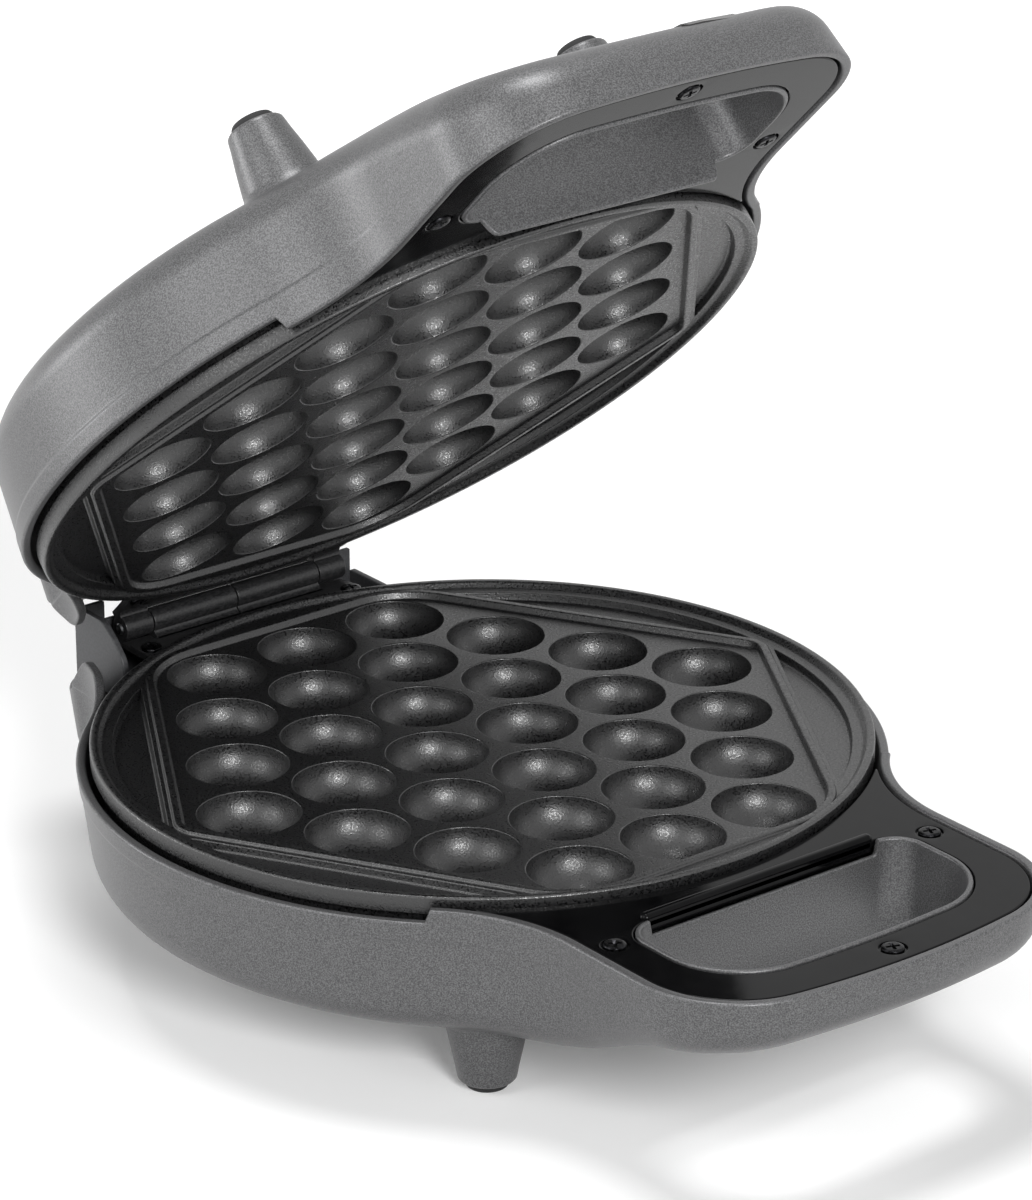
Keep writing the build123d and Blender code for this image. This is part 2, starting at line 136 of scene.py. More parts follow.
def speckledFinish(name, look):
    # colour and roughness vary with a fine grain that is also in relief, over a broad soft unevenness
    material, tree, shader = newMaterial(name)
    place = addNode(tree, "ShaderNodeTexCoord").outputs["Object"]
    grain = addNode(tree, "ShaderNodeTexNoise",
                    {"Scale": perMillimetre(look["grain"]), "Detail": 2.0, "Roughness": 0.6},
                    {"Vector": place}).outputs["Fac"]
    broad = addNode(tree, "ShaderNodeTexNoise", {"Scale": perMillimetre(look["patch"]), "Detail": 2.0},
                    {"Vector": place}).outputs["Fac"]
    ramp = addNode(tree, "ShaderNodeValToRGB", None, {"Fac": grain})
    colours = (look["dark"], look["light"])
    for stop, position, colour in zip(ramp.color_ramp.elements, speckle["stops"], colours):
        stop.position, stop.color = position, linearColour(colour)
    uneven = spreadNoise(tree, broad, 1 - speckle["unevenness"], 1 + speckle["unevenness"])
    tinted = addNode(tree, "ShaderNodeVectorMath", {"operation": "SCALE"},
                     {0: ramp.outputs["Color"], "Scale": uneven}).outputs["Vector"]
    tree.links.new(tinted, shader.inputs["Base Color"])
    rough = spreadNoise(tree, grain, look["roughness"] - look["spread"], look["roughness"] + look["spread"])
    tree.links.new(rough, shader.inputs["Roughness"])
    relief = addNode(tree, "ShaderNodeBump", {"Strength": look["relief"], "Distance": look["depth"] / 1000},
                     {"Height": grain})
    tree.links.new(relief.outputs["Normal"], shader.inputs["Normal"])
    shader.inputs["Metallic"].default_value = look.get("metallic", 0.0)
    shader.inputs["Specular IOR Level"].default_value = look.get("specular", 0.5)
    return material


finishes = dict(
    # metallic lacquer on moulded ABS: grey with pale flakes, satin. The flakes are about 0.05 mm,
    # under a pixel, and are drawn at 0.35 mm
    paintedAbs=dict(dark="#454546", light="#6d6d6e", roughness=0.40, spread=0.05, relief=0.2, depth=0.02,
                    grain=0.35, patch=55, metallic=0.45),
    # PTFE sprayed on die-cast aluminium: near black, its fine orange peel breaks highlights into sparkles.
    # The grain is about 0.2 mm, under a pixel, and is drawn at 0.5 mm
    ptfeCoating=dict(dark="#060607", light="#161617", roughness=0.38, spread=0.20, relief=0.9, depth=0.10,
                     grain=0.5, patch=30, specular=0.85),
    # polished moulded ABS: deep black with clear reflections and a faint moulding ripple
    glossAbs=dict(dark="#070708", light="#0b0b0c", roughness=0.11, spread=0.02, relief=0.04, depth=0.05,
                  grain=6.0, patch=25, specular=0.1),
    # powder-coated pressed steel: black, satin, with a fine texture that glints
    powderCoatedSteel=dict(dark="#161617", light="#303031", roughness=0.38, spread=0.07, relief=0.5, depth=0.05,
                           grain=0.6, patch=12),
    # spark-eroded moulded ABS: dark grey, dull, evenly textured. Its grey is darker than the casing's as
    # painted shade, standing for the shade that the lid casts on the hinge cover
    texturedAbsPaintedShade=dict(dark="#343436", light="#434446", roughness=0.52, spread=0.05, relief=0.3, depth=0.04,
                     grain=0.6, patch=30),
    # black-oxide steel: blue-black, oily sheen
    oxideSteel=dict(dark="#101011", light="#2b2b2d", roughness=0.33, spread=0.08, relief=0.1, depth=0.02,
                    grain=1.2, patch=4, metallic=1.0),
    # moulded nitrile rubber: black, matt, a slight bloom
    mouldedRubber=dict(dark="#0f0f10", light="#1b1b1c", roughness=0.75, spread=0.06, relief=0.35, depth=0.05,
                       grain=0.8, patch=8),
    # zinc-plated steel: pale blue-grey with a soft spangle
    zincSteel=dict(dark="#9a9da0", light="#c2c4c6", roughness=0.34, spread=0.08, relief=0.1, depth=0.02,
                   grain=1.5, patch=10, metallic=1.0),
    # drawn stainless sheath: warm grey, heat-tinted in patches
    drawnSheath=dict(dark="#77726b", light="#a09a92", roughness=0.4, spread=0.08, relief=0.15, depth=0.03,
                     grain=1.0, patch=22, metallic=1.0),
    # hot-dip aluminised sheet: bright, softly mottled
    aluminisedSheet=dict(dark="#a5a7a9", light="#c8cacb", roughness=0.3, spread=0.1, relief=0.1, depth=0.03,
                         grain=2.5, patch=18, metallic=1.0),
    # moulded phenolic: brown with darker flow marks
    mouldedPhenolic=dict(dark="#2c1a12", light="#46291c", roughness=0.4, spread=0.06, relief=0.15, depth=0.03,
                         grain=1.4, patch=9),
    # glass-braided silicone lead: off-white sleeve with a fine braid
    braidedSleeve=dict(dark="#b9b2a2", light="#ddd8cb", roughness=0.7, spread=0.05, relief=0.6, depth=0.08,
                       grain=0.7, patch=14),
    # moulded nylon: milky white, waxy
    mouldedNylon=dict(dark="#d6d4cc", light="#e6e4dd", roughness=0.42, spread=0.05, relief=0.1, depth=0.03,
                      grain=1.5, patch=12),
    # smoked acrylic: black-brown and glossy, with a trace of polish marks
    smokedAcrylic=dict(dark="#0c0a0a", light="#141111", roughness=0.09, spread=0.02, relief=0.03, depth=0.03,
                       grain=3.0, patch=10),
    # frosted lamp glass: pale, slightly green, soft shine
    frostedGlass=dict(dark="#aebfae", light="#cfdccf", roughness=0.28, spread=0.06, relief=0.15, depth=0.03,
                      grain=0.9, patch=5),
)
materials = {name: speckledFinish(name, look) for name, look in finishes.items()}
print("materials made")


# outlines

def arcRun(cx, cy, radius, start, end, spacing):
    count = max(2, round(abs(radians(end - start)) * radius / spacing))
    angles = [radians(start + (end - start) * i / count) for i in range(count)]
    return [(cx + radius * cos(a), cy + radius * sin(a)) for a in angles]


def lineRun(start, end, spacing):
    (ax, ay), (bx, by) = start, end
    count = max(1, round(hypot(bx - ax, by - ay) / spacing))
    return [(ax + (bx - ax) * i / count, ay + (by - ay) * i / count) for i in range(count)]


def angleOf(y, x):
    return degrees(atan2(y, x))


def mirrored(right):
    # the right side runs from the middle of the front to the middle of the back
    return right + [(-x, y) for x, y in reversed(right[1:-1])]


sharpestMitre = 1.2  # keeps the inset of a sharp corner from shooting out


def inwardNormals(loop):
    # the way inwards at each point, longer at a corner, so that insets keep the sides parallel
    normals = []
    for i, (x, y) in enumerate(loop):
        px, py = loop[i - 1]
        qx, qy = loop[(i + 1) % len(loop)]
        ax, ay, bx, by = x - px, y - py, qx - x, qy - y
        la, lb = hypot(ax, ay), hypot(bx, by)
        nx, ny = -(ay / la + by / lb), ax / la + bx / lb
        scale = 2 / max(nx * nx + ny * ny, sharpestMitre)
        normals.append((nx * scale, ny * scale))
    return normals


def insetLoop(loop, distance):
    return [(x + nx * distance, y + ny * distance) for (x, y), (nx, ny) in zip(loop, inwardNormals(loop))]


def circleLoop(cx, cy, radius, count):
    angles = [2 * pi * i / count for i in range(count)]
    return [(cx + radius * cos(a), cy + radius * sin(a)) for a in angles]


def roundedLoop(corners, radius, spacing=0.6):
    # closed outline with its corners rounded, each with its own radius or all with the same
    loop = []
    for i, corner in enumerate(corners):
        here, before, after = Vector(corner), Vector(corners[i - 1]), Vector(corners[(i + 1) % len(corners)])
        r = radius[i] if isinstance(radius, (list, tuple)) else radius
        a, b = (before - here).normalized(), (after - here).normalized()
        half = acos(max(-1.0, min(1.0, a.dot(b)))) / 2
        reach = r / tan(half)
        start, end = here + a * reach, here + b * reach
        middle = here + (a + b).normalized() * (r / sin(half))
        first = atan2(start.y - middle.y, start.x - middle.x)
        last = atan2(end.y - middle.y, end.x - middle.x)
        turn = (last - first + pi) % (2 * pi) - pi
        count = max(3, round(abs(turn) * r / spacing))
        loop += [(middle.x + r * cos(first + turn * k / count), middle.y + r * sin(first + turn * k / count))
                 for k in range(count + 1)]
    return loop


def insideLoop(point, loop):
    x, y = point
    inside = False
    for (ax, ay), (bx, by) in zip(loop, loop[1:] + loop[:1]):
        if (ay > y) != (by > y) and x < (bx - ax) * (y - ay) / (by - ay) + ax:
            inside = not inside
    return inside


# meshes

def newShape():
    return {"points": [], "faces": []}


def addRings(shape, rings):
    # a skin through rings with the same number of points
    first, count = len(shape["points"]), len(rings[0])
    for ring in rings:
        shape["points"] += ring
    for row in range(len(rings) - 1):
        for i in range(count):
            a, b = first + row * count + i, first + row * count + (i + 1) % count
            shape["faces"].append((a, b, b + count, a + count))


def addFill(shape, loops, height, extra=()):
    # triangles between an outer loop and its holes, at a height that may vary over the surface
    points, outlines = [], []
    for loop in loops:
        outlines.append(list(range(len(points), len(points) + len(loop))))
        points += [Vector(p) for p in loop]
    points += [Vector(p) for p in extra]
    found, _, faces, _, _, owners = delaunay_2d_cdt(points, [], outlines, 1, 0.00001)
    first = len(shape["points"])
    shape["points"] += [(p.x, p.y, height(p.x, p.y) if callable(height) else height) for p in found]
    # a face inside a hole belongs to that hole's outline too
    shape["faces"] += [tuple(first + i for i in face)
                       for face, owner in zip(faces, owners) if list(owner) == [0]]


def addCap(shape, ring):
    first = len(shape["points"])
    shape["points"] += ring
    shape["faces"].append(tuple(range(first, first + len(ring))))


def lathe(shape, cx, cy, profile, count):
    # profile is (radius, z) pairs; a first or last radius of 0 closes the end
    rings = [[(x, y, z) for x, y in circleLoop(cx, cy, radius, count)] for radius, z in profile if radius > 0]
    addRings(shape, rings)
    for (radius, z), ring in ((profile[0], rings[0]), (profile[-1], rings[-1])):
        if radius == 0:
            first = len(shape["points"])
            shape["points"] += ring + [(cx, cy, z)]
            shape["faces"] += [(first + i, first + (i + 1) % count, first + count) for i in range(count)]


def slab(shape, outer, holes, low, high, rounding, steps=3, bothSides=False, pits=()):
    # plate between z = low and z = high, its edges rounded at the low face, or at both. Pits leave
    # openings in the low face for what is sunk in it
    for loop, side in [(outer, 1)] + [(hole, -1) for hole in holes]:
        rings = []
        for k in range(steps + 1):
            turn = pi / 2 * k / steps
            rings.append([(x, y, low + rounding * (1 - cos(turn)))
                          for x, y in insetLoop(loop, side * rounding * (1 - sin(turn)))])
        if bothSides:
            for k in range(steps + 1):
                turn = pi / 2 * k / steps
                rings.append([(x, y, high - rounding * (1 - sin(turn)))
                              for x, y in insetLoop(loop, side * rounding * (1 - cos(turn)))])
        else:
            rings.append([(x, y, high) for x, y in loop])
        addRings(shape, rings)
    rounded = [insetLoop(outer, rounding)] + [insetLoop(hole, -rounding) for hole in holes]
    addFill(shape, rounded + list(pits), low)
    addFill(shape, rounded if bothSides else [outer] + holes, high)


def makePiece(name, shape, half, material, replaces, sharp=38, turned=None):
    mesh = bpy.data.meshes.new(name)
    place = placings[half]
    points = [turned(p) for p in shape["points"]] if turned else shape["points"]
    mesh.from_pydata([place(p) for p in points], [], shape["faces"])
    work = bmesh.new()
    work.from_mesh(mesh)
    bmesh.ops.remove_doubles(work, verts=work.verts, dist=0.000004)
    bmesh.ops.dissolve_degenerate(work, edges=work.edges, dist=0.000001)
    bmesh.ops.recalc_face_normals(work, faces=work.faces)
    work.to_mesh(mesh)
    work.free()
    mesh.shade_smooth()
    mesh.set_sharp_from_angle(angle=radians(sharp))
    mesh.materials.append(materials[material])
    piece = bpy.data.objects.new(name, mesh)
    bpy.context.scene.collection.objects.link(piece)
    weighted = piece.modifiers.new("even shading", "WEIGHTED_NORMAL")
    weighted.keep_sharp = True
    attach(piece, half)
    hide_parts(*replaces)


# casings. crown, lip and lowLip give heights at places along y: of the outside, of the rim, and of
# the rim on the right, which stays low at the rear
casing = dict(radius=100.0, depth=36.5, wall=2.5, draft=7.0, edge=10.0, handleHalf=56.3, handleFront=158.7,
              bow=7.5, corner=28.0, flare=45.0, rearHalf=53.0, rearY=117.0, rearCorner=15.5, rearFlare=31.0,
              lipStepY=-70.5, lipStepHalfAngle=0.45, rearLipStart=70.0, lipRounding=0.7, spacing=1.5,
              crown=dict(lid=[(-170, 14.2), (-150, 17.7), (-136, 22.3), (-122, 26.8), (-110, 30.0),
                              (-100, 32.4), (-90, 34.3), (-80, 35.7), (-68, 36.5), (-50, 36.7), (-8, 36.5),
                              (200, 36.5)],
                         base=[(-170, 14.6), (-150, 17.2), (-136, 19.6), (-122, 23.6), (-110, 28.8),
                               (-100, 33.4), (-90, 36.2), (-80, 37.4), (-68, 37.6), (-50, 37.2), (-30, 36.7),
                               (-8, 36.5), (200, 36.5)]),
              lip=[(-200, 1.9), (-71.0, 1.9), (-70.0, 5.4), (76, 5.4), (85, 0.4), (96, 0.4), (106.5, 13),
                   (200, 13)],
              lowLip=[(-200, 1.9), (-71.0, 1.9), (-70.0, 5.4), (76, 5.4), (90, 13), (200, 13)],
              wallLevels=(3.2, 6.4, 8.0, 9.6, 10.0, 10.25, 10.5, 10.75, 11.0, 11.5, 14.0, 18.0, 22.0, 30.0),
              bandStart=10.0, bandRise=1.0, bandStep=0.3, bandFadeStart=-100, bandFadeLength=30, edgeSteps=12)
grip = dict(half=41.0, near=106.3, far=142.0, bow=2.5, frontCorner=19.0, backCorner=7.0, wall=1.4,
            rounding=2.5, lip=1.9, tongueHalf=34.0, tongueReach=2.4, tongueEase=2.4, notchHalf=35.0,
            notchDepth=5.6, notchEase=1.6, edgeSteps=6, tubeDepth=6.0, spacing=1.0)
draftSlope = tan(radians(casing["draft"]))


def casingOutline():
    c, spacing = casing, casing["spacing"]
    bowRadius = (c["handleHalf"] ** 2 + c["bow"] ** 2) / (2 * c["bow"])
    bowY = bowRadius - c["handleFront"]
    cornerX = c["handleHalf"] - c["corner"]
    cornerY = bowY - sqrt((bowRadius - c["corner"]) ** 2 - cornerX ** 2)
    meet = angleOf(cornerY - bowY, cornerX)
    flareX = c["handleHalf"] + c["flare"]
    flareY = -sqrt((c["radius"] + c["flare"]) ** 2 - flareX ** 2)
    rearX = c["rearHalf"] + c["rearFlare"]
    rearY = sqrt((c["radius"] + c["rearFlare"]) ** 2 - rearX ** 2)
    right = arcRun(0, bowY, bowRadius, -90, meet, spacing)
    right += arcRun(cornerX, cornerY, c["corner"], meet, 0, spacing)
    right += lineRun((c["handleHalf"], cornerY), (c["handleHalf"], flareY), spacing)
    right += arcRun(flareX, flareY, c["flare"], 180, angleOf(-flareY, -flareX), spacing)
    # the tub's round side, with close points where the lip steps
    stepAngle, stepHalf = degrees(asin(c["lipStepY"] / c["radius"])), c["lipStepHalfAngle"]
    right += arcRun(0, 0, c["radius"], angleOf(flareY, flareX), stepAngle - stepHalf, 0.25)
    right += arcRun(0, 0, c["radius"], stepAngle - stepHalf, stepAngle + stepHalf, 0.12)
    right += arcRun(0, 0, c["radius"], stepAngle + stepHalf, angleOf(rearY, rearX), spacing)
    # the rear housing
    fine = spacing * 0.7
    rearCornerX, rearCornerY = c["rearHalf"] - c["rearCorner"], c["rearY"] - c["rearCorner"]
    right += arcRun(rearX, rearY, c["rearFlare"], angleOf(-rearY, -rearX) + 360, 180, fine)
    right += lineRun((c["rearHalf"], rearY), (c["rearHalf"], rearCornerY), fine)
    right += arcRun(rearCornerX, rearCornerY, c["rearCorner"], 0, 90, fine)
    right += lineRun((rearCornerX, c["rearY"]), (0, c["rearY"]), spacing)
    return mirrored(right + [(0, c["rearY"])])


def gripOutline():
    g, spacing = grip, grip["spacing"]
    bowRadius = (g["half"] ** 2 + g["bow"] ** 2) / (2 * g["bow"])
    bowY = bowRadius - g["far"]
    cornerX = g["half"] - g["frontCorner"]
    cornerY = bowY - sqrt((bowRadius - g["frontCorner"]) ** 2 - cornerX ** 2)
    meet = angleOf(cornerY - bowY, cornerX)
    backX, backY = g["half"] - g["backCorner"], -g["near"] - g["backCorner"]
    right = arcRun(0, bowY, bowRadius, -90, meet, spacing)
    right += arcRun(cornerX, cornerY, g["frontCorner"], meet, 0, spacing)
    right += lineRun((g["half"], cornerY), (g["half"], backY), spacing)
    right += arcRun(backX, backY, g["backCorner"], 0, 90, spacing * 0.6)
    right += lineRun((backX, -g["near"]), (0, -g["near"]), spacing * 0.5)
    return mirrored(right + [(0, -g["near"])])


def lineHeight(profile, y):
    for (ya, za), (yb, zb) in zip(profile, profile[1:]):
        if y <= yb:
            return za + (zb - za) * (y - ya) / (yb - ya)
    return profile[-1][1]


def lipHeight(x, y):
    # straight runs, softened at the rear by taking the mean over 4 mm
    profile = casing["lowLip" if x > 0 else "lip"]
    if y < casing["rearLipStart"]:
        return lineHeight(profile, y)
    near = [lineHeight(profile, y + d) for d in (-2.0, -1.0, 0.0, 1.0, 2.0)]
    return sum(near) / len(near)


def smoothHeight(profile, y):
    # a curve through the profile's points, with no kink at any of them
    for i in range(len(profile) - 1):
        (ya, za), (yb, zb) = profile[i], profile[i + 1]
        if y <= yb:
            before, after = profile[max(i - 1, 0)], profile[min(i + 2, len(profile) - 1)]
            slopeA = (zb - before[1]) / (yb - before[0])
            slopeB = (after[1] - za) / (after[0] - ya)
            span, t = yb - ya, max(0.0, (y - ya) / (yb - ya))
            return (za * (1 + 2 * t) * (1 - t) ** 2 + zb * t * t * (3 - 2 * t)
                    + slopeA * span * t * (1 - t) ** 2 - slopeB * span * t * t * (1 - t))
    return profile[-1][1]


def crownHeight(y, half):
    # level over the tub, then down in a round shoulder and a slope along the handle
    return smoothHeight(casing["crown"][half], y)


def clamped(value):
    return min(max(value, 0.0), 1.0)


def bandInset(y, z):
    # the wall steps in a little beyond a line that runs along the rim and fades towards the handle
    c = casing
    rise = clamped((z - c["bandStart"]) / c["bandRise"])
    fade = clamped((y - c["bandFadeStart"]) / c["bandFadeLength"])
    return c["bandStep"] * rise * rise * (3 - 2 * rise) * fade


# profiles are (radius, height) pairs: a foot's height counts from the crown, a pad's from the parting plane
feet = dict(places=[(-48, -63), (48, -63), (-48, 63), (48, 63)], sink=0.03, flareHeight=9.0,
            profile=[(12.6, 0.0), (11.4, 0.35), (10.5, 1.1), (9.95, 2.4), (9.55, 5.0), (8.6, 10.0),
                     (7.6, 14.6), (7.2, 16.9), (7.05, 17.55), (6.7, 17.95), (6.2, 18.1), (5.6, 18.1),
                     (5.45, 17.8), (5.4, 17.2)],
            padProfile=[(5.4, 53.6), (5.4, 54.9), (5.3, 55.8), (4.95, 56.3), (4.3, 56.5), (0, 56.5)])
screwWell = dict(places=[(-69, -40), (69, -40), (-69, 40), (69, 40)], mouth=4.1, radius=3.7, floor=22.1,
                 count=28)
crownGrid = dict(stepX=4.0, stepY=3.0, columns=range(-20, 21), rows=range(2, 54), margin=1.6)


def tubSurface(x, y, half):
    # height of the tub's outside over a point near its round edge
    c = casing
    top = crownHeight(y, half)
    past = hypot(x, y) - (c["radius"] - top * draftSlope - c["bandStep"] - c["edge"])
    if past <= 0:
        return top
    return top - c["edge"] + sqrt(max(c["edge"] ** 2 - past ** 2, 0.0))


def gripLip(x, y, half):
    # on the hole's straight side the lid has a tongue, and the base a notch that takes it
    g = grip
    if y < -g["near"] - 0.01:
        return g["lip"]
    if half == "lid":
        edge = clamped((g["tongueHalf"] - abs(x)) / g["tongueEase"])
        return g["lip"] - (g["tongueReach"] + g["lip"]) * (1 - (1 - edge) ** 2)
    edge = clamped((g["notchHalf"] - abs(x)) / g["notchEase"])
    return g["lip"] + (g["notchDepth"] - g["lip"]) * (1 - (1 - edge) ** 2)


def addWall(shape, half):
    # outer wall, from inside the rim, round its lip, up the drafted side and over the round edge to
    # the crown. Returns the crown's border
    c = casing
    outline = casingOutline()
    normals = inwardNormals(outline)
    lips = [lipHeight(x, y) for x, y in outline]
    tops = []
    for (x, y), (nx, ny) in zip(outline, normals):
        top = crownHeight(y, half)
        for _ in range(3):
            top = crownHeight(y + ny * (c["edge"] + draftSlope * top + bandInset(y, top)), half)
        tops.append(top)

    def ring(inset, heights):
        points = []
        for (x, y), (nx, ny), z in zip(outline, normals, heights):
            d = inset + draftSlope * z + bandInset(y, z)
            points.append((x + nx * d, y + ny * d, z))
        return points

    wall, rounding = c["wall"], c["lipRounding"]
    rings = []
    for inset, rise in ((wall, 9.0), (wall, 0.6), (wall - 0.18, 0.18), (wall - 0.6, 0.0),
                        (rounding, 0.0), (0.35, 0.1), (0.1, 0.35), (0.0, rounding)):
        rings.append(ring(inset, [lip + rise for lip in lips]))
    for level in c["wallLevels"]:
        rings.append(ring(0, [min(max(level, lip + rounding), top - c["edge"])
                              for lip, top in zip(lips, tops)]))
    for k in range(1, c["edgeSteps"] + 1):
        turn = pi / 2 * k / c["edgeSteps"]
        rings.append(ring(c["edge"] * (1 - cos(turn)), [top - c["edge"] * (1 - sin(turn)) for top in tops]))
    addRings(shape, rings)
    return [(x, y) for x, y, _ in ring(c["edge"], tops)]


def addGripTube(shape, half):
    # tube round the grip hole, from its rounded edge on the crown to its lip, and round to its back.
    # Returns the hole's border on the crown
    g = grip
    hole = gripOutline()
    lips = [gripLip(x, y, half) for x, y in hole]
    border = insetLoop(hole, -g["rounding"])
    tops = [crownHeight(y, half) for _, y in border]
    rings = []
    for k in range(g["edgeSteps"] + 1):
        turn = pi / 2 * k / g["edgeSteps"]
        loop = insetLoop(hole, -g["rounding"] * (1 - sin(turn)))
        rings.append([(x, y, top - g["rounding"] * (1 - cos(turn))) for (x, y), top in zip(loop, tops)])
    wall = g["wall"]
    for outward, rise in ((0.0, 0.6), (0.12, 0.2), (0.45, 0.0), (wall - 0.45, 0.0), (wall - 0.12, 0.2),
                          (wall, 0.6), (wall, g["tubeDepth"])):
        rings.append([(x, y, lip + rise) for (x, y), lip in zip(insetLoop(hole, -outward), lips)])
    addRings(shape, rings)
    return border


def addCrown(shape, half, border, holeBorder):
    # crown with the wells of the plate screws, and a grid of points that lets it follow its curve
    w, g = screwWell, crownGrid
    wells = [circleLoop(x, y, w["mouth"], w["count"]) for x, y in w["places"]]
    keep, avoid = insetLoop(border, g["margin"]), insetLoop(holeBorder, -g["margin"])
    grid = [(x * g["stepX"], -y * g["stepY"]) for x in g["columns"] for y in g["rows"]]
    grid = [p for p in grid if insideLoop(p, keep) and not insideLoop(p, avoid)]
    addFill(shape, [border, holeBorder] + wells, lambda x, y: crownHeight(y, half), grid)
    for x, y in w["places"]:
        top = crownHeight(y, half)
        lathe(shape, x, y, [(w["mouth"], top), (w["mouth"] - 0.3, top - 0.3), (w["radius"], top - 0.7),
                            (w["radius"], w["floor"]), (0, w["floor"])], w["count"])


def addFeet(shape, half):
    # flared where they grow out of the crown
    f, depth = feet, casing["depth"]
    for x, y in f["places"]:
        rings = []
        for radius, rise in f["profile"]:
            settle = max(0.0, 1 - rise / f["flareHeight"]) ** 2
            rings.append([(px, py, depth - f["sink"] + rise + (tubSurface(px, py, half) - depth) * settle)
                          for px, py in circleLoop(x, y, radius, 48)])
        addRings(shape, rings)


def casingShape(half):
    shape = newShape()
    border = addWall(shape, half)
    holeBorder = addGripTube(shape, half)
    addCrown(shape, half, border, holeBorder)
    addFeet(shape, half)
    return shape


for half in ("base", "lid"):
    makePiece(half + "_casing_moulding", casingShape(half), half, "paintedAbs",
              (half + "_casing", half + "_feet"), sharp=44)
    pads = newShape()
    for x, y in feet["places"]:
        lathe(pads, x, y, feet["padProfile"], 40)
    makePiece(half + "_rubber_pads", pads, half, "mouldedRubber", (half + "_foot_pads",))
print("casings made")


# cooking plates
plate = dict(radius=95.8, rimTop=0.3, rimFoot=92.6, shelf=2.0, basin=4.0, pocketRadius=90.2, pocketGap=1.5,
             ridgeTop=1.2, ridgeWidth=2.0, toSide=78.9, toFront=88.4, frontCorner=24.0, sideCorner=8.0,
             land=3.0, skirtTop=4.8, skirtInset=2.2, skirtEnd=11.0, pitch=28.0, rows=(3, 4, 5, 6, 5, 4, 3),
             bowlRadius=12.5, mouth=0.3, bowlDepth=9.8, bowlFullness=0.86, rimCount=240, bowlCount=56)


def hexagonLoop(inset):
    p = plate
    side, front = p["toSide"] - inset, p["toFront"] - inset
    point, corner = side / cos(radians(30)), (side - front / 2) / cos(radians(30))
    right = [(corner, -front), (point, 0), (corner, front)]
    corners = right + [(-x, -y) for x, y in right]
    big, small = max(p["frontCorner"] - inset, 3.0), max(p["sideCorner"] - inset, 2.0)
    return roundedLoop(corners, [big, small, big, big, small, big], 1.0)


def pocketLoops(inset):
    # the four crescent basins between the ridge's slanted sides and the rim
    p = plate
    away, radius = p["toSide"] + p["pocketGap"] + inset, p["pocketRadius"] - inset
    half = acos(away / radius)
    loops = []
    for middle in (30, 150, 210, 330):
        angles = [radians(middle) + half * (k / 32 - 1) for k in range(65)]
        arc = [(radius * cos(angle), radius * sin(angle)) for angle in angles]
        (ax, ay), (bx, by) = arc[-1], arc[0]
        loops.append(arc + [(ax + (bx - ax) * k / 40, ay + (by - ay) * k / 40) for k in range(1, 40)])
    return loops


def bowlPlaces():
    p = plate
    places = []
    for row, count in enumerate(p["rows"]):
        y = (row - 3) * p["pitch"] * sin(radians(60))
        places += [((i - (count - 1) / 2) * p["pitch"], y) for i in range(count)]
    return places


def plateShape():
    p = plate
    shape = newShape()
    # skirt under the rim, and the rim round to the shelf
    radius, count = p["radius"], p["rimCount"]
    skirt, skirtTop, skirtEnd = radius - p["skirtInset"], p["skirtTop"], p["skirtEnd"]
    rim, foot, shelf = p["rimTop"], p["rimFoot"], p["shelf"]
    shelfRadius = foot - 0.4
    lathe(shape, 0, 0, [(radius - 4.4, 7.0), (radius - 4.4, skirtEnd), (skirt - 0.3, skirtEnd),
                        (skirt, skirtEnd - 0.3), (skirt, skirtTop + 0.3), (skirt + 0.2, skirtTop),
                        (radius - 0.25, skirtTop), (radius, skirtTop - 0.25), (radius, rim + 0.6),
                        (radius - 0.16, rim + 0.2), (radius - 0.55, rim), (radius - 1.5, rim),
                        (radius - 1.9, rim + 0.15), (radius - 2.2, rim + 0.5), (foot + 0.35, shelf - 0.35),
                        (foot, shelf - 0.08), (shelfRadius, shelf)], count)
    # shelf round the ridge, and the basins sunk in it
    ridgeFoot, pocketLip, pocketFoot = -0.35, -0.3, 0.9
    border = circleLoop(0, 0, shelfRadius, count)
    addFill(shape, [border, hexagonLoop(ridgeFoot)] + pocketLoops(pocketLip), shelf)
    steps = ((pocketLip, 0.0), (-0.1, 0.08), (0.0, 0.3), (0.25, 1.5), (0.5, 1.85),
             (pocketFoot, p["basin"] - shelf))
    nested = [[[(x, y, shelf + z) for x, y in loop] for loop in pocketLoops(inset)] for inset, z in steps]
    for rings in zip(*nested):
        addRings(shape, list(rings))
    for loop in pocketLoops(pocketFoot):
        addFill(shape, [loop], p["basin"])
    # ridge: two round shoulders with a flat between, then a slope down to the land
    top, width, land = p["ridgeTop"], p["ridgeWidth"], p["land"]
    landInset = width + 0.9
    steps = ((ridgeFoot, shelf), (-0.12, shelf - 0.12), (0.0, top + 0.35), (0.12, top + 0.1), (0.4, top),
             (width - 0.4, top), (width - 0.12, top + 0.1), (width, top + 0.35), (width + 0.45, land - 0.3),
             (width + 0.65, land - 0.06), (landInset, land))
    ridge = hexagonLoop(0)
    addRings(shape, [[(x, y, z) for x, y in insetLoop(ridge, inset)] for inset, z in steps])
    # land, open at the bowls
    mouth, lip, count = p["bowlRadius"] + p["mouth"], p["mouth"], p["bowlCount"]
    holes = [circleLoop(x, y, mouth, count) for x, y in bowlPlaces()]
    addFill(shape, [insetLoop(ridge, landInset)] + holes, land)
    # bowls: a rounded mouth, then nearly a quarter of a sphere, fuller at its side
    turns = [pi / 2 * k / 4 for k in range(5)]
    profile = [(mouth - lip * sin(turn), land + lip * (1 - cos(turn))) for turn in turns]
    turns = [pi / 2 * k / 13 for k in range(1, 13)]
    depth, fullness = p["bowlDepth"] - lip, p["bowlFullness"]
    profile += [(p["bowlRadius"] * cos(turn) ** fullness, land + lip + depth * sin(turn)) for turn in turns]
    profile.append((0, land + p["bowlDepth"]))
    for x, y in bowlPlaces():
        lathe(shape, x, y, profile, count)
    return shape


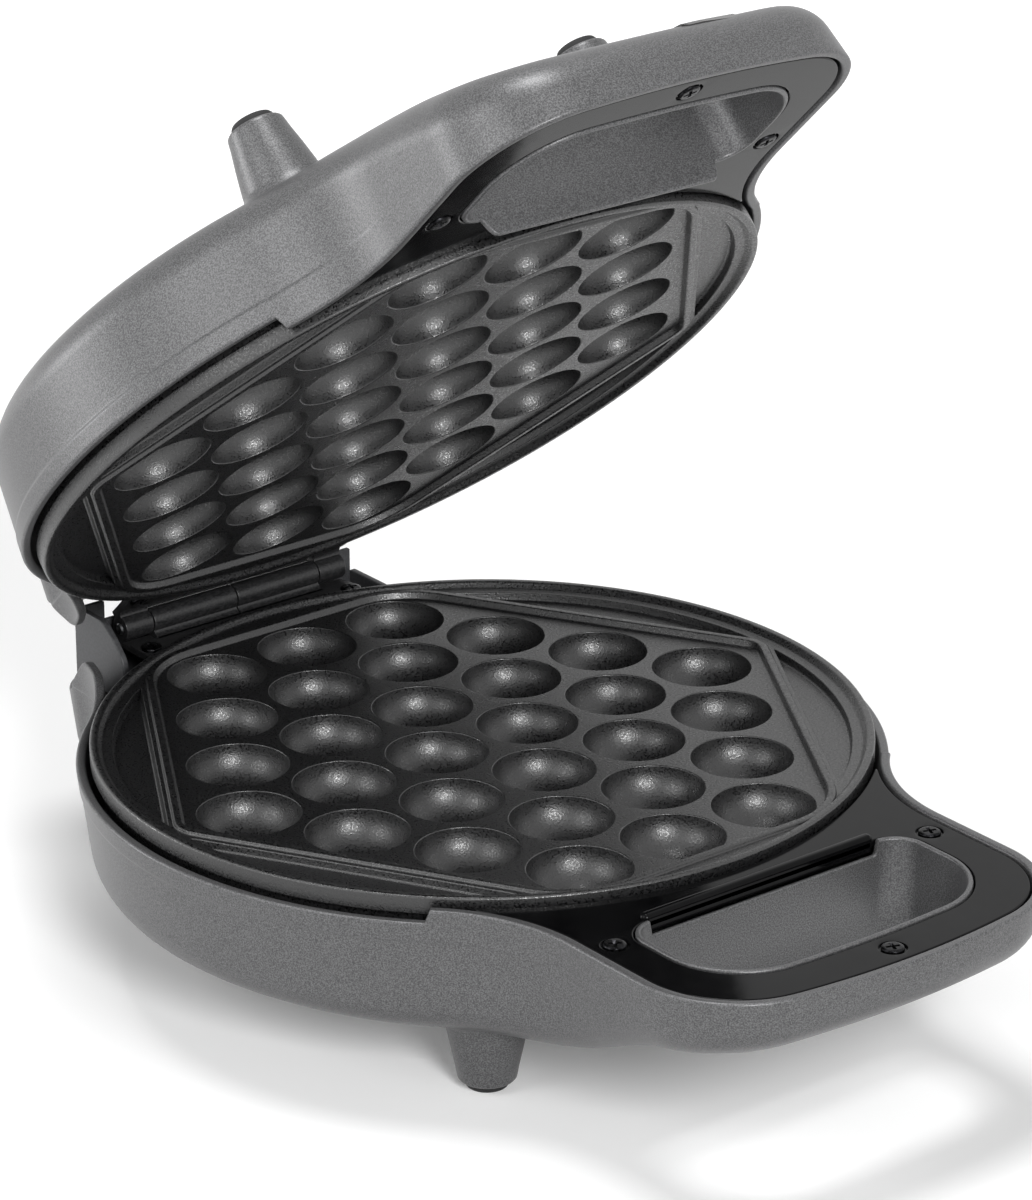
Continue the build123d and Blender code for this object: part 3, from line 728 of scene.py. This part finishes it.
for half in ("base", "lid"):
    makePiece(half + "_plate_casting", plateShape(), half, "ptfeCoating",
              (half + "_cooking_plate",), sharp=50)
print("cooking plates made")


# handle covers
cover = dict(top=2.4, thickness=1.6, rounding=0.5, sideGap=3.4, plateGap=0.9, holeGap=0.3, tipY=-74.5,
             beadTop=1.2, beadWidth=3.0, beadHalf=34.7, beadGap=0.3, beadRounding=1.2, beadCorner=1.4,
             screws=[(-47.6, -109.5), (47.6, -109.5), (0.0, -149.5)], recess=0.55, recessRadius=3.3,
             recessLip=0.3)


def coverLoop():
    # along the casing's handle, and back along the plate's rim
    outer = insetLoop(casingOutline(), cover["sideGap"])
    start = max(i for i in range(len(outer)) if outer[i][1] > cover["tipY"]) + 1
    front = [point for point in outer[start:] + outer[:start] if point[1] <= cover["tipY"]]
    radius = plate["radius"] + cover["plateGap"]
    tip = degrees(asin(cover["tipY"] / radius))
    back = arcRun(0, 0, radius, tip, -180 - tip, 1.5) + [(-radius * cos(radians(tip)), cover["tipY"])]
    return front + back


screwSize = dict(radius=2.7, height=0.95, edge=0.4, crossHalf=0.42, crossReach=0.62, crossDepth=0.75,
                 crossTaper=0.72)


def screwHead(shape, x, y, seat):
    # pan head with a cross recess, facing the parting plane, turned by an amount of its own
    s = screwSize
    radius, top, floor = s["radius"], seat - s["height"], seat - s["height"] + s["crossDepth"]
    lathe(shape, x, y, [(radius, seat), (radius, top + 0.45), (radius - 0.12, top + 0.18),
                        (radius - s["edge"], top)], 32)
    arm, half = radius * s["crossReach"], s["crossHalf"]
    cross = [(-half, -arm), (half, -arm), (half, -half), (arm, -half), (arm, half), (half, half),
             (half, arm), (-half, arm), (-half, half), (-arm, half), (-arm, -half), (-half, -half)]
    turn = radians(20 + 37 * (x + y) % 90)
    cross = [(x + a * cos(turn) - b * sin(turn), y + a * sin(turn) + b * cos(turn)) for a, b in cross]
    addFill(shape, [circleLoop(x, y, radius - s["edge"], 32), cross], top)
    inner = [(x + (a - x) * s["crossTaper"], y + (b - y) * s["crossTaper"]) for a, b in cross]
    addRings(shape, [[(a, b, top) for a, b in cross], [(a, b, floor) for a, b in inner]])
    addFill(shape, [inner], floor)


def coverShape(withBead):
    v = cover
    shape = newShape()
    hole = insetLoop(gripOutline(), -(grip["wall"] + v["holeGap"]))
    low, radius, mouth = v["top"], v["recessRadius"], v["recessRadius"] + v["recessLip"]
    recesses = [circleLoop(x, y, mouth, 32) for x, y in v["screws"]]
    slab(shape, coverLoop(), [hole], low, low + v["thickness"], v["rounding"], 4, pits=recesses)
    for x, y in v["screws"]:
        lathe(shape, x, y, [(mouth, low), (radius + 0.08, low + 0.1), (radius, low + v["recessLip"]),
                            (radius, low + v["recess"]), (0, low + v["recess"])], 32)
    if withBead:
        # along the hole's straight side, down into the casing's notch
        near, half = -grip["near"] + grip["wall"] + v["holeGap"], v["beadHalf"]
        far = near + v["beadWidth"]
        bead = roundedLoop([(-half, near), (half, near), (half, far), (-half, far)], v["beadCorner"], 0.3)
        slab(shape, bead, [], v["beadTop"], grip["notchDepth"] - v["beadGap"], v["beadRounding"], 6)
    return shape


for half in ("base", "lid"):
    makePiece(half + "_cover_moulding", coverShape(half == "base"), half, "glossAbs",
              (half + "_handle_cover",), sharp=40)
    heads = newShape()
    for x, y in cover["screws"]:
        screwHead(heads, x, y, cover["top"] + cover["recess"])
    makePiece(half + "_cover_screws", heads, half, "oxideSteel",
              (half + "_handle_screws",), sharp=35)
print("handle covers made")


# hinge
hinge = dict(y=106.0, half=34.7, radius=3.3, edge=0.35, longKnuckle=26.0, gap=0.3,
             pin=1.5, pinPlay=0.05, pinReach=0.4, pinChamfer=0.3,
             leafTop=3.2, leafThickness=1.8, leafFront=97.0, leafBack=102.0, leafCorner=0.4,
             webFront=101.5, webEnd=105.4, webDrop=0.45, webGap=0.5, screws=[(-31.5, 96.5), (31.5, 96.5)])


def alongX(point):
    # a shape drawn round the z axis, laid along x on the hinge line
    x, y, z = point
    return (z, hinge["y"] + x, y)


def knuckle(shape, low, high):
    radius, edge, bore = hinge["radius"], hinge["edge"], hinge["pin"] + hinge["pinPlay"]
    lathe(shape, 0, 0, [(bore, low), (radius - edge, low), (radius - 0.1, low + 0.12), (radius, low + edge),
                        (radius, high - edge), (radius - 0.1, high - 0.12), (radius - edge, high),
                        (bore, high)], 40)


def anticlockwise(loop):
    area = sum(ax * by - bx * ay for (ax, ay), (bx, by) in zip(loop, loop[1:] + loop[:1]))
    return list(reversed(loop)) if area < 0 else loop


def rectangle(left, right, near, far):
    return [(left, near), (right, near), (right, far), (left, far)]


def leafShape(longOnes):
    h = hinge
    half, long, reach = h["half"], h["longKnuckle"], h["longKnuckle"] + h["gap"]
    top, under = h["leafTop"], h["leafTop"] + h["leafThickness"]
    if longOnes:
        spans, webs = [(-long, -h["gap"] / 2), (h["gap"] / 2, long)], [(-half, -reach), (reach, half)]
    else:
        spans, webs = [(-half, -reach), (reach, half)], [(-reach + h["webGap"], reach - h["webGap"])]
    leaf = newShape()
    for low, high in spans:
        knuckle(leaf, low, high)
    leaf["points"] = [alongX(p) for p in leaf["points"]]
    # the sheet leaves each knuckle in a curve and lies flat under the screws
    profile = [(101.0, top), (102.0, top), (102.8, top - 0.35), (103.3, top - 1.0), (103.6, 1.2),
               (104.2, 0.4), (h["y"], 3.2), (h["y"], under), (101.0, under)]
    for low, high in spans:
        rings = [[(x, y, z) for y, z in profile] for x in (low + 0.05, high - 0.05)]
        addRings(leaf, rings)
        for ring in rings:
            addCap(leaf, ring)
    swing = degrees(asin(half / h["leafFront"]))
    arc = arcRun(0, 0, h["leafFront"], 90 - swing, 90 + swing, 1.2)
    end = (-half, sqrt(h["leafFront"] ** 2 - half ** 2))
    back, corner = h["leafBack"], h["leafCorner"]
    loop = [(half - corner, back), (half, back - corner)] + arc
    loop += [end, (-half, back - corner), (-half + corner, back)]
    slab(leaf, anticlockwise(loop), [], top, under, 0.2, 2)
    # webs close the gaps beside the knuckles, a little under the leaf's face
    for low, high in webs:
        web = rectangle(low, high, h["webFront"], h["webEnd"])
        slab(leaf, web, [], top + h["webDrop"], under - 0.1, 0.15, 2)
    return leaf


for half in ("base", "lid"):
    makePiece(half + "_leaf_pressing", leafShape(half == "base"), half, "powderCoatedSteel",
              (half + "_hinge_leaf",), sharp=35)
    heads = newShape()
    for x, y in hinge["screws"]:
        screwHead(heads, x, y, hinge["leafTop"])
    makePiece(half + "_leaf_screws", heads, half, "oxideSteel",
              (half + "_hinge_screws",), sharp=35)


def rodShape():
    radius, end, chamfer = hinge["pin"], hinge["half"] + hinge["pinReach"], hinge["pinChamfer"]
    shape = newShape()
    lathe(shape, 0, 0, [(0, -end), (radius - chamfer, -end), (radius, -end + chamfer),
                        (radius, end - chamfer), (radius - chamfer, end), (0, end)], 24)
    return shape


makePiece("pin_rod", rodShape(), "base", "zincSteel", ("hinge_pin",), turned=alongX)

# hinge cover: cheeks are (y, z) outlines with a radius for each corner, high on the left, low on the right
shroud = dict(half=44.0, thickness=1.8, top=13.0, wall=1.3, wallLow=-1.0, floor=11.2, front=101.4, back=112.8,
              webEnd=35.6, webLow=-6.2,
              cheek=[(91, 13), (91, 2), (95.5, -2.8), (100, -6.5), (112.8, -6.5), (112.8, 13)],
              corners=[0.8, 5.0, 6.0, 5.0, 4.0, 0.8],
              lowCheek=[(91, 13), (91, 8.5), (97, 5.0), (112.8, 5.0), (112.8, 13)],
              lowCorners=[0.8, 3.0, 3.0, 2.0, 0.8])


def shroudShape():
    s = shroud
    shape = newShape()
    for low, corners, radii in ((-s["half"], s["cheek"], s["corners"]),
                                (s["half"] - s["thickness"], s["lowCheek"], s["lowCorners"])):
        cheek = anticlockwise(roundedLoop(corners, radii))
        slab(shape, cheek, [], low, low + s["thickness"], 0.45, bothSides=True)
    shape["points"] = [(z, x, y) for x, y, z in shape["points"]]
    inner, back = s["half"] - s["thickness"] + 0.1, s["back"]
    slab(shape, rectangle(-inner, inner, back - s["wall"], back), [], s["wallLow"], s["top"], 0.3)
    slab(shape, rectangle(-inner, -s["webEnd"], back - s["wall"], back), [], s["webLow"], s["top"], 0.3)
    slab(shape, rectangle(-inner, inner, s["front"], back), [], s["floor"], s["top"], 0.2, 2)
    return shape


# the hinge cover's grey, darker than the casing's, is painted shade from the lid
makePiece("shroud_moulding", shroudShape(), "base", "texturedAbsPaintedShade", ("hinge_cover",),
          sharp=40)
print("hinge made")


# rear gland: an open bush with a collar, its profile (radius, distance out of the rear wall)
gland = dict(x=32.0, depth=21.6, face=115.4,
             profile=[(3.2, -8.0), (3.2, 1.4), (3.5, 1.8), (5.6, 1.8), (6.1, 1.3), (6.2, 0.1), (4.8, 0.0),
                      (4.8, -8.0), (3.2, -8.0)])


def alongRear(point):
    x, y, z = point
    return (gland["x"] + x, z, gland["depth"] + y)


bush = newShape()
lathe(bush, 0, 0, [(radius, gland["face"] + out) for radius, out in gland["profile"]], 36)
makePiece("gland_bush", bush, "base", "mouldedRubber", ("cord_gland",), turned=alongRear)


# pieces kept from the frame
keptFinishes = {"heating_element": "drawnSheath", "element_clamps": "zincSteel",
                "reflector": "aluminisedSheet", "thermostat": "mouldedPhenolic", "wiring": "braidedSleeve",
                "plate_screws": "zincSteel", "terminal_block": "mouldedNylon", "thermal_fuse": "zincSteel",
                "indicator_lens": "smokedAcrylic", "indicator_lamps": "frostedGlass",
                "lamp_holder": "mouldedNylon"}
for name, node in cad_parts.items():
    for part, finish in keptFinishes.items():
        if name in (part, "base_" + part, "lid_" + part):
            node.data.materials.clear()
            node.data.materials.append(materials[finish])
print("kept pieces finished")


# floor, light and background. Each lamp has its place, size and power
stage = dict(floorSize=8.0, fadeFrom=0.35, fadeTo=1.5, floorColour="#f3f3f3", floorGlow=0.13,
             ambient=0.14, ambientColour="#ffffff", lampAim=(0, 0, 0.1),
             lamps=[("front box", (-0.68, -1.85, 1.15), 0.7, 37.0), ("left box", (-1.7, 0.2, 1.2), 1.2, 11.5),
                    ("rear box", (-1.3, 1.55, 0.25), 0.7, 11.0), ("top box", (0.0, 0.35, 2.1), 0.8, 25.0),
                    ("right box", (1.7, -0.7, 0.8), 1.2, 1.5)])
white = (1, 1, 1, 1)


def seenDirectly(tree):
    # camera, mirror and glass rays
    path = addNode(tree, "ShaderNodeLightPath")
    two = addNode(tree, "ShaderNodeMath", {"operation": "MAXIMUM"},
                  {0: path.outputs["Is Camera Ray"], 1: path.outputs["Is Glossy Ray"]})
    return addNode(tree, "ShaderNodeMath", {"operation": "MAXIMUM"},
                   {0: two.outputs[0], 1: path.outputs["Is Transmission Ray"]}).outputs[0]


def makeFloor():
    s = stage
    mesh = bpy.data.meshes.new("floor")
    half = s["floorSize"] / 2
    mesh.from_pydata([(x, y, 0) for x, y in rectangle(-half, half, -half, half)], [], [(0, 1, 2, 3)])
    floor = bpy.data.objects.new("floor", mesh)
    bpy.context.scene.collection.objects.link(floor)
    # matt white painted board, with a glow that only direct views see
    material, tree, _ = newMaterial("whiteSweep")
    tree.nodes.clear()
    matt = addNode(tree, "ShaderNodeBsdfDiffuse", {"Color": linearColour(s["floorColour"])})
    glow = addNode(tree, "ShaderNodeEmission", {"Color": white})
    # the floor brightens to plain white away from the machine, so that no edge or horizon shows
    place = addNode(tree, "ShaderNodeTexCoord").outputs["Object"]
    distance = addNode(tree, "ShaderNodeVectorMath", {"operation": "LENGTH"}, {0: place}).outputs["Value"]
    fade = addNode(tree, "ShaderNodeMapRange", {"From Min": s["fadeFrom"], "From Max": s["fadeTo"],
                                                "To Min": s["floorGlow"], "To Max": 1.0}, {"Value": distance})
    level = addNode(tree, "ShaderNodeMath", {"operation": "MULTIPLY"},
                    {0: seenDirectly(tree), 1: fade.outputs["Result"]})
    tree.links.new(level.outputs[0], glow.inputs["Strength"])
    both = addNode(tree, "ShaderNodeAddShader", None, {0: matt.outputs[0], 1: glow.outputs[0]})
    addNode(tree, "ShaderNodeOutputMaterial", None, {"Surface": both.outputs[0]})
    mesh.materials.append(material)


def makeWorld():
    # soft light for the machine, plain white for the camera
    world = bpy.data.worlds.new("studio")
    world.use_nodes = True
    bpy.context.scene.world = world
    tree = world.node_tree
    tree.nodes.clear()
    soft = addNode(tree, "ShaderNodeBackground",
                   {"Color": linearColour(stage["ambientColour"]), "Strength": stage["ambient"]})
    plain = addNode(tree, "ShaderNodeBackground", {"Color": white, "Strength": 1.0})
    mixed = addNode(tree, "ShaderNodeMixShader", None,
                    {0: seenDirectly(tree), 1: soft.outputs[0], 2: plain.outputs[0]})
    addNode(tree, "ShaderNodeOutputWorld", None, {"Surface": mixed.outputs[0]})


def addLamps():
    for name, place, size, power in stage["lamps"]:
        lamp = bpy.data.lights.new(name, "AREA")
        lamp.shape, lamp.size, lamp.energy = "DISK", size, power
        holder = bpy.data.objects.new(name, lamp)
        holder.location = place
        aim = Vector(stage["lampAim"]) - Vector(place)
        holder.rotation_euler = aim.to_track_quat("-Z", "Y").to_euler()
        bpy.context.scene.collection.objects.link(holder)


makeFloor()
makeWorld()
addLamps()
bpy.context.scene.view_settings.view_transform = "Standard"
print("stage made")
